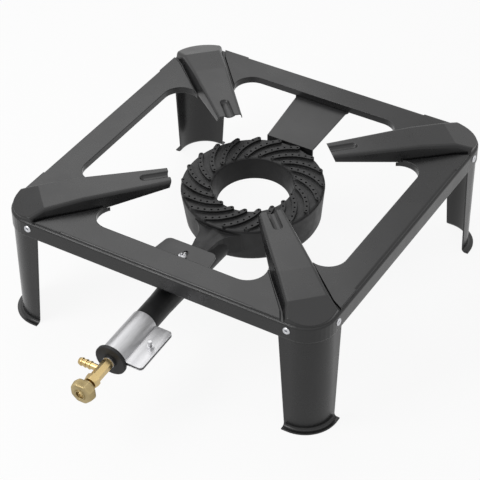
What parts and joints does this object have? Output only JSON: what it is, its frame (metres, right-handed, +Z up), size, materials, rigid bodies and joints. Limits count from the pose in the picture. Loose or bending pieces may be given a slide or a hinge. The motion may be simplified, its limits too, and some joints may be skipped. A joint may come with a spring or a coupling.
{
  "type": "gas wok burner",
  "caption": "Free-standing gas wok burner: pressed square stand with pan arms and legs, ribbed ring burner, mixing tube with sliding air shutter and a needle valve with a knob.",
  "frame": {"origin": "centre of the whole part's footprint on the floor, halfway between the knob and the rear feet", "axes": "+Z up, -Y towards the gas valve and its knob, +X to the right of a user facing the valve"},
  "size_m": [0.4104, 0.5441, 0.161],
  "materials": {
    "frame_enamel": "satin black baked enamel",
    "cast_iron": "black painted sand casting",
    "bracket_enamel": "satin black baked enamel",
    "rivet_steel": "bright plated steel",
    "zinc_steel": "bright zinc plated steel",
    "shutter_steel": "bright plated sheet",
    "brass": "turned brass",
    "knob_metal": "nickel washed cast brass",
    "seal_rubber": "matt black rubber"
  },
  "bodies": {
    "stand": {"pressed_frame": "frame_enamel", "leg_front_left": "frame_enamel", "leg_front_right": "frame_enamel", "leg_rear_left": "frame_enamel", "leg_rear_right": "frame_enamel", "rivets_front_left": "rivet_steel", "rivets_front_right": "rivet_steel", "rivets_rear_left": "rivet_steel", "rivets_rear_right": "rivet_steel", "front_bracket": "bracket_enamel", "front_bracket_screw": "zinc_steel", "rear_bracket": "bracket_enamel", "rear_bracket_screw": "zinc_steel", "burner_casting": "cast_iron", "injector": "brass", "valve_washer": "zinc_steel", "valve_body": "brass", "hose_tail": "brass", "gland_packing": "seal_rubber", "gland_nut": "brass"},
    "shutter": {"air_shutter": "shutter_steel", "shutter_screw": "zinc_steel", "shutter_nut": "zinc_steel"},
    "spindle_seal": {"spindle_o_ring": "seal_rubber"},
    "knob": {"valve_spindle": "zinc_steel", "control_knob": "knob_metal", "knob_screw": "brass"}
  },
  "joints": [
    {"name": "air_shutter_slide", "type": "slide", "parent": "stand", "child": "shutter", "axis": [0, 0.9983, 0.0576], "range_m": [0, 0.03]},
    {"name": "spindle_travel", "type": "slide", "parent": "stand", "child": "spindle_seal", "axis": [0, -0.9983, -0.0576], "range_m": [0, 0.003]},
    {"name": "knob_turn", "type": "hinge", "parent": "spindle_seal", "child": "knob", "pos_m": [0, -0.24451, 0.08411], "axis": [0, -0.9983, -0.0576], "range_deg": [0, 1080]}
  ],
  "couplings": [
    {"joint": "knob_turn", "follows": "spindle_travel", "rad_per_m": 6283.2}
  ]
}
